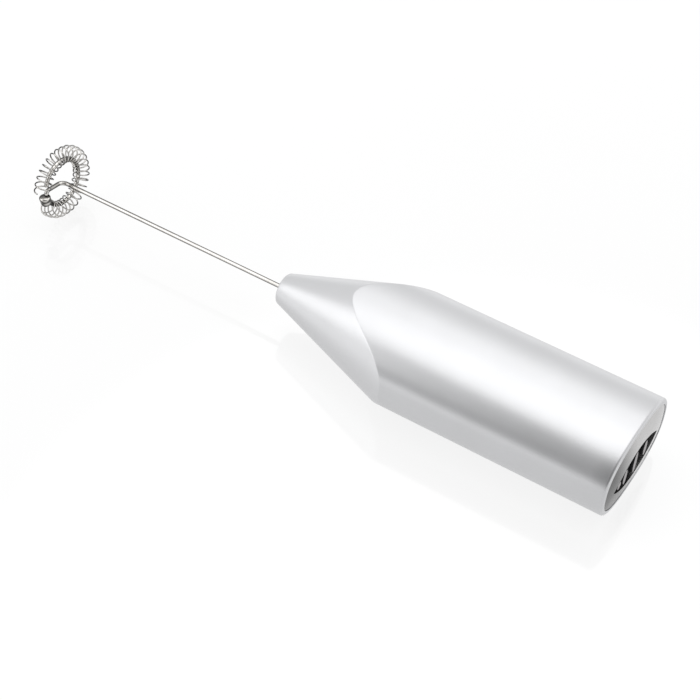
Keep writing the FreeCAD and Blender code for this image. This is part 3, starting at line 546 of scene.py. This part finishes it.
def door_skin():
    """The door's patch of the handle's skin, with finger grooves pressed into its outer face."""
    low = oval_angle(DOOR_HALF - DOOR_GAP)
    start = 3 * math.pi - low
    angles = [start + (low - start) * i / DOOR_COLUMNS for i in range(DOOR_COLUMNS + 1)]
    front = DOOR_X + DOOR_GAP
    stations = [(front, 0), (front + DOOR_EDGE, 0)]
    stations += [(x, 0) for x in spaced(front + DOOR_EDGE, RIDGE_X - 1 * MM, DOOR_ROWS)]
    for n in range(RIDGE_COUNT):
        x = RIDGE_X + n * RIDGE_PITCH
        far = x + RIDGE_WIDE
        stations += [(x, 0), (x + RIDGE_FLANK, 1), (far - RIDGE_FLANK, 1), (far, 0)]
    ridge_end = RIDGE_X + RIDGE_COUNT * RIDGE_PITCH
    stations += [(x, 0) for x in spaced(ridge_end, TAIL_X - TAIL_ROUND, DOOR_TAIL_ROWS)]
    stations += [(x, -more) for x, more in tail_corner()]
    verts, faces = [], []
    for angle in angles:
        for x, dip in stations:
            across, up = oval(angle, -min(dip, 0))
            groove = dip > 0 and abs(across) < RIDGE_LONG / 2
            verts.append(Vector((x, across, max(AXIS_Z + up, 0) + (RIDGE_DEEP if groove else 0))))
    rows = len(stations)
    base = len(verts)
    for angle in angles:
        across, up = oval(angle, WALL)
        for x, dip in stations:
            verts.append(Vector((x, across, AXIS_Z + up)))
    last = len(angles) - 1
    for c in range(last):
        for r in range(rows - 1):
            a, b = c * rows + r, (c + 1) * rows + r
            faces.append((a, a + 1, b + 1, b))
            faces.append((base + a, base + b, base + b + 1, base + a + 1))
        for r in (0, rows - 1):
            a, b = c * rows + r, (c + 1) * rows + r
            faces.append((a, b, base + b, base + a))
    for c in (0, last):
        for r in range(rows - 1):
            a = c * rows + r
            faces.append((a, base + a, base + a + 1, a + 1))
    return verts, faces


def build_door():
    """Door skin with its two rails, each on a foot, and the front lip."""
    start = DOOR_X + RAIL_START
    blocks = [door_skin()]
    for side in (1, -1):
        foot = sorted((side * RAIL_IN, side * (RAIL_IN + RAIL_FOOT)))
        wing = sorted((side * RAIL_IN, side * RAIL_OUT))
        blocks.append(box_mesh((start, foot[0], RAIL_FOOT_Z), (start + RAIL_LONG, foot[1], RAIL_LOW)))
        blocks.append(box_mesh((start, wing[0], RAIL_LOW), (start + RAIL_LONG, wing[1], RAIL_TOP)))
    lip_x = DOOR_X + DOOR_GAP
    blocks.append(box_mesh((lip_x - LIP_LONG, -LIP_WIDE / 2, LIP_Z),
                           (lip_x + LIP_BEHIND, LIP_WIDE / 2, LIP_Z + LIP_THICK)))
    door = add_mesh("door_cover", *joined(blocks), FINISHES["silver_shell"], smooth=40)
    finish_piece(door, "door", "silver_shell", "battery_door")


build_door()

# ---------------------------------------------------------------- tail panel, recess and switch

SEAM_Z = RAIL_TOP + 0.08 * MM
SEAM_GAP = 0.04 * MM


def lens_half(y, half_long, half_wide):
    """Half height of a pointed oval at this distance along it."""
    r = (half_long ** 2 + half_wide ** 2) / (2 * half_wide)
    if abs(y) >= half_long:
        return 0.0
    return math.sqrt(r * r - y * y) - (r - half_wide)


def dome_x(y, up):
    """Outer face of the panel: a shallow pillow that starts at the rim."""
    power = OVAL_POWER
    low, high = 0.0, DOME_WIDE
    for step in range(DOME_SEARCH_STEPS):
        middle = (low + high) / 2
        wide, tall = HALF_WIDE - RIM - middle, HALF_TALL - RIM - middle
        inside = (abs(y) / wide) ** power + (abs(up) / tall) ** power < 1
        low, high = (middle, high) if inside else (low, middle)
    part = low / DOME_WIDE
    return PANEL_X + PANEL_THICK + DOME_TALL * (1 - (1 - part) ** 2) * DOME_SHARE


def back_x(y, up):
    """Flat inner face of the panel."""
    return PANEL_X


def rim_half(y, inset):
    """Half height of the section, drawn in by inset, at this distance across."""
    wide, tall = HALF_WIDE - inset, HALF_TALL - inset
    return tall * max(0.0, 1 - (abs(y) / wide) ** OVAL_POWER) ** (1 / OVAL_POWER)


def strip_points(spans, y_limit, depth):
    """Points column by column across Y, closer together near the edges; depth(y, up) gives x."""
    points = []
    for c in range(PANEL_COLUMNS + 1):
        y = -y_limit * math.cos(math.pi * c / PANEL_COLUMNS)
        low, high = spans(y)
        for r in range(PANEL_ROWS + 1):
            up = low + (high - low) * (1 - math.cos(math.pi * r / PANEL_ROWS)) / 2
            points.append(Vector((depth(y, up), y, AXIS_Z + up)))
    return points


def strip_piece(name, body, replaces, spans, y_limit):
    """Closed panel piece made of columns across Y; spans(y) gives its lower and upper edges."""
    verts = strip_points(spans, y_limit, dome_x)
    base = len(verts)
    verts += strip_points(spans, y_limit, back_x)
    faces = []
    step = PANEL_ROWS + 1
    for c in range(PANEL_COLUMNS):
        for r in range(PANEL_ROWS):
            a, b = c * step + r, (c + 1) * step + r
            faces.append((a, b, b + 1, a + 1))
            faces.append((base + a, base + a + 1, base + b + 1, base + b))
        for r in (0, PANEL_ROWS):
            a, b = c * step + r, (c + 1) * step + r
            faces.append((a, base + a, base + b, b))
    for c in (0, PANEL_COLUMNS):
        for r in range(PANEL_ROWS):
            a = c * step + r
            faces.append((a, a + 1, base + a + 1, base + a))
    piece = add_mesh(name, verts, faces, FINISHES["grey_panel"], smooth=30)
    finish_piece(piece, body, "grey_panel", *replaces)


def upper_span(y):
    """From the recess's upper edge to the rim."""
    return WELL_Z - AXIS_Z + lens_half(y - WELL_Y, WELL_LONG, WELL_WIDE), rim_half(y, RIM)


def lower_span(y):
    """From the rim, or the seam above the door's end, to the recess's lower edge."""
    top = WELL_Z - AXIS_Z - lens_half(y - WELL_Y, WELL_LONG, WELL_WIDE)
    floor = SEAM_Z + SEAM_GAP - AXIS_Z if abs(y) < RAIL_OUT + SEAM_GAP else -HALF_TALL
    return max(-rim_half(y, RIM), floor), top


def door_span(y):
    """From the rim to the seam; within the door's width the end runs down into its skin."""
    inset = DOOR_END_INSET if abs(y) < DOOR_HALF - 2 * DOOR_GAP else RIM
    low = -rim_half(y, inset)
    return low, max(SEAM_Z - SEAM_GAP - AXIS_Z, low)


def panel_sheets():
    """Panel above and below the recess, and the door's end wall under the seam."""
    limit = HALF_WIDE - RIM - PANEL_SIDE_GAP
    strip_piece("tail_panel", "housing", ("end_panel",), upper_span, limit)
    strip_piece("tail_panel_lower", "housing", (), lower_span, limit)
    strip_piece("door_end", "door", (), door_span, RAIL_OUT - PANEL_SIDE_GAP)


panel_sheets()


def lens_plate(half_long, half_wide, x_low, x_high, y_middle):
    """Pointed-oval plate, closed, as corners and faces."""
    outline = []
    for i in range(LENS_STEPS + 1):
        y = -half_long * math.cos(math.pi * i / LENS_STEPS)
        outline.append((y, lens_half(y, half_long, half_wide)))
    ring = [(y, up) for y, up in outline] + [(y, -up) for y, up in outline[-2:0:-1]]
    total = len(ring)
    verts = [Vector((x, y_middle + y, WELL_Z + up)) for x in (x_low, x_high) for y, up in ring]
    faces = [tuple(range(total)), tuple(range(total, 2 * total))[::-1]]
    for k in range(total):
        after = (k + 1) % total
        faces.append((k, after, total + after, total + k))
    return verts, faces


def build_well():
    """Black floor that closes the recess behind the slide button."""
    plate = lens_plate(WELL_LONG - WELL_SIDE_GAP, WELL_WIDE - WELL_SIDE_GAP,
                       PANEL_X + WELL_FLOOR_LIFT, SLIDER_X - WELL_FLOOR_GAP, WELL_Y)
    floor = add_mesh("recess_floor", *plate, WELL_BLACK, smooth=30)
    finish_piece(floor, "housing", "grey_panel")


def ring_faces(rings, sides):
    """Quads between neighbouring rings of points, and a flat cap at each end."""
    faces = []
    for i in range(1, rings):
        low, high = (i - 1) * sides, i * sides
        for k in range(sides):
            after = (k + 1) % sides
            faces.append((low + k, low + after, high + after, high + k))
    faces.append(tuple(range(sides))[::-1])
    faces.append(tuple(range((rings - 1) * sides, rings * sides)))
    return faces


def rib_mesh(y_middle, long, x_low):
    """Oval rib that draws in at its top, twice as much across as along."""
    levels = (x_low, RIB_TOP - RIB_CROWN, RIB_TOP - RIB_CROWN * RIB_SHOULDER, RIB_TOP)
    verts = []
    for x, share in zip(levels, RIB_SHARES):
        for k in range(RIB_SIDES):
            turn = 2 * math.pi * k / RIB_SIDES
            up = long / 2 * math.cos(turn) * (share + (1 - share) * 0.5)
            side = RIB_THICK / 2 * math.sin(turn) * share
            verts.append(Vector((x, y_middle + side, WELL_Z + up)))
    return verts, ring_faces(len(levels), RIB_SIDES)


def build_slider():
    """Black slide button: pointed-oval plate, stem and four grip ribs whose tops catch the light, painted
    into their colour as a lighter grey sheen.
    """
    plate_top = SLIDER_X + SLIDER_THICK
    blocks = [lens_plate(SLIDER_LONG, SLIDER_WIDE, SLIDER_X, plate_top, SLIDER_Y),
              box_mesh((STEM_X, SLIDER_Y - STEM_LONG / 2, AXIS_Z - STEM_WIDE / 2),
                       (SLIDER_X + STEM_SUNK, SLIDER_Y + STEM_LONG / 2, AXIS_Z + STEM_WIDE / 2))]
    for y, long in RIBS:
        blocks.append(rib_mesh(y, long, plate_top - RIB_SUNK))
    slider = add_mesh("slide_button", *joined(blocks), FINISHES["black_switch"], smooth=30)
    slider.data.materials.append(RIB_PAINTED_SHEEN)
    # the flat rib tops take the painted sheen
    for polygon in slider.data.polygons:
        if polygon.center.x > RIB_TOP - 0.01 * MM:
            polygon.material_index = 1
    finish_piece(slider, "switch", "black_switch", "switch_slider")


build_well()
build_slider()

# ---------------------------------------------------------------- whisk


def hoop_point(radius, degrees, out=0.0):
    """Point in the hoop's plane, which leans by RING_TILT about Y."""
    angle = math.radians(degrees)
    up = radius * math.sin(angle)
    return Vector((RING_X + out * math.cos(RING_TILT) + up * math.sin(RING_TILT),
                   radius * math.cos(angle),
                   AXIS_Z + up * math.cos(RING_TILT) - out * math.sin(RING_TILT)))


def tube(name, path, radius, material, sides):
    """Round wire along a path of points, with flat ends and rings that don't twist along it."""
    verts = []
    count = len(path)
    heading = (path[1] - path[0]).normalized()
    side = heading.orthogonal().normalized()
    for i, point in enumerate(path):
        ahead = path[min(i + 1, count - 1)] - path[max(i - 1, 0)]
        ahead.normalize()
        side = (side - ahead * side.dot(ahead)).normalized()
        other = ahead.cross(side)
        for k in range(sides):
            turn = 2 * math.pi * k / sides
            verts.append(point + (side * math.cos(turn) + other * math.sin(turn)) * radius)
    return add_mesh(name, verts, ring_faces(count, sides), material, smooth=50)


def build_coil():
    """Coil spring round the hoop: it hangs outwards, its inner side just inside the hoop wire."""
    path = []
    for i in range(COIL_TURNS * COIL_STEPS + 1):
        turn = i / COIL_STEPS
        winding = 2 * math.pi * turn
        # each turn sits a little off its neighbours, as a bent spring does
        wander = COIL_SHARE + COIL_WANDER * math.sin(turn * COIL_WANDER_RATE)
        slip = COIL_SLIP * math.sin(turn * COIL_SLIP_RATE)
        at = COIL_START + COIL_SWEEP * turn / COIL_TURNS + slip
        path.append(hoop_point(COIL_RING_R + COIL_R * wander * math.cos(winding), at,
                               COIL_R * wander * math.sin(winding)))
    coil = tube("hoop_coil", path, COIL_WIRE_R, FINISHES["stainless"], COIL_SIDES)
    finish_piece(coil, "drive", "stainless", "whisk_spring")


def build_sleeve():
    """Crimp barrel that ties the hoop's two ends together: rounded ends and a pressed waist."""
    verts = []
    for i in range(SLEEVE_ROWS + 1):
        part = i / SLEEVE_ROWS
        at = SLEEVE_START + SLEEVE_SWEEP * part
        end = min(part, 1 - part) * 2
        radius = SLEEVE_R * (SLEEVE_END_SHARE + (1 - SLEEVE_END_SHARE) * math.sqrt(min(1, end * 4)))
        radius *= 1 - SLEEVE_WAIST_DEEP * math.exp(-((part - 0.5) / SLEEVE_WAIST_LONG) ** 2)
        for k in range(SLEEVE_SIDES):
            turn = 2 * math.pi * k / SLEEVE_SIDES
            verts.append(hoop_point(SLEEVE_RING_R + radius * math.cos(turn), at, radius * math.sin(turn)))
    faces = ring_faces(SLEEVE_ROWS + 1, SLEEVE_SIDES)
    crimp = add_mesh("hoop_crimp", verts, faces, FINISHES["stainless"], smooth=45)
    finish_piece(crimp, "drive", "stainless", "whisk_sleeve")


build_coil()
build_sleeve()

# ---------------------------------------------------------------- stage and light

FLOOR_GLOW = 0.82
SKY_GLOW = 1.045
ROOM_GLOW = 0.235
LAMP_RANGE = 0.8
ROOM_WAY = Vector((0.337, -0.672, 0.578)).normalized()
ROOM_START = 0.469
ROOM_FULL = 0.903
FLOOR_SIZE = 6
FLOOR_DROP = 0.00002


def add_floor():
    """Pale, faintly glossy floor that glows, so that the object leaves hardly any shadow on it."""
    bpy.ops.mesh.primitive_plane_add(size=FLOOR_SIZE, location=(0, 0, -FLOOR_DROP))
    floor = bpy.context.object
    floor.name = "floor"
    material = surface("white_floor", (0.13, 0.13, 0.13), (0.12, 0.12, 0.12), rough=0.08, rough_spread=0.01,
                       patch=3, grain=300, bump=0.0, specular=0.4)
    shader = material.node_tree.nodes["Principled BSDF"]
    shader.inputs["Emission Color"].default_value = (1, 1, 1, 1)
    shader.inputs["Emission Strength"].default_value = FLOOR_GLOW
    floor.data.materials.append(material)


def add_lamp(name, way, half_angle, glow):
    """Round softbox that glows this much more than the sky behind it."""
    way = Vector(way).normalized()
    radius = LAMP_RANGE * math.tan(math.radians(half_angle))
    data = bpy.data.lights.new(name, "AREA")
    data.shape = "DISK"
    data.size = 2 * radius
    data.energy = glow * math.pi * math.pi * radius ** 2
    lamp = bpy.data.objects.new(name, data)
    lamp.location = way * LAMP_RANGE
    lamp.rotation_mode = "QUATERNION"
    lamp.rotation_quaternion = way.to_track_quat("Z", "Y")
    bpy.context.scene.collection.objects.link(lamp)


def add_world():
    """White studio with a darker room on the camera's side; the camera itself sees plain white."""
    world = bpy.data.worlds.new("studio")
    bpy.context.scene.world = world
    world.use_nodes = True
    tree = world.node_tree
    tree.nodes.clear()
    place = node(tree, "ShaderNodeTexCoord")
    towards_room = node(tree, "ShaderNodeVectorMath", operation="DOT_PRODUCT")
    towards_room.inputs[1].default_value = ROOM_WAY
    tree.links.new(place.outputs["Generated"], towards_room.inputs[0])
    glow = node(tree, "ShaderNodeMapRange", interpolation_type="SMOOTHSTEP")
    glow.inputs["From Min"].default_value = ROOM_START
    glow.inputs["From Max"].default_value = ROOM_FULL
    glow.inputs["To Min"].default_value = SKY_GLOW
    glow.inputs["To Max"].default_value = ROOM_GLOW
    tree.links.new(towards_room.outputs["Value"], glow.inputs["Value"])
    surroundings = node(tree, "ShaderNodeBackground", Color=(1, 1, 1, 1))
    tree.links.new(glow.outputs["Result"], surroundings.inputs["Strength"])
    backdrop = node(tree, "ShaderNodeBackground", Strength=1.0, Color=(1, 1, 1, 1))
    rays = node(tree, "ShaderNodeLightPath")
    mix = node(tree, "ShaderNodeMixShader")
    tree.links.new(rays.outputs["Is Camera Ray"], mix.inputs["Fac"])
    tree.links.new(surroundings.outputs["Background"], mix.inputs[1])
    tree.links.new(backdrop.outputs["Background"], mix.inputs[2])
    out = node(tree, "ShaderNodeOutputWorld")
    tree.links.new(mix.outputs["Shader"], out.inputs["Surface"])


add_floor()
add_world()
add_lamp("softbox_top", (-0.132, 0.341, 1.003), 27.8, 0.964)
add_lamp("softbox_left", (-0.697, -0.445, 0.543), 23.5, 1.067)
bpy.context.scene.view_settings.view_transform = "Standard"
bpy.context.scene.view_settings.look = "None"
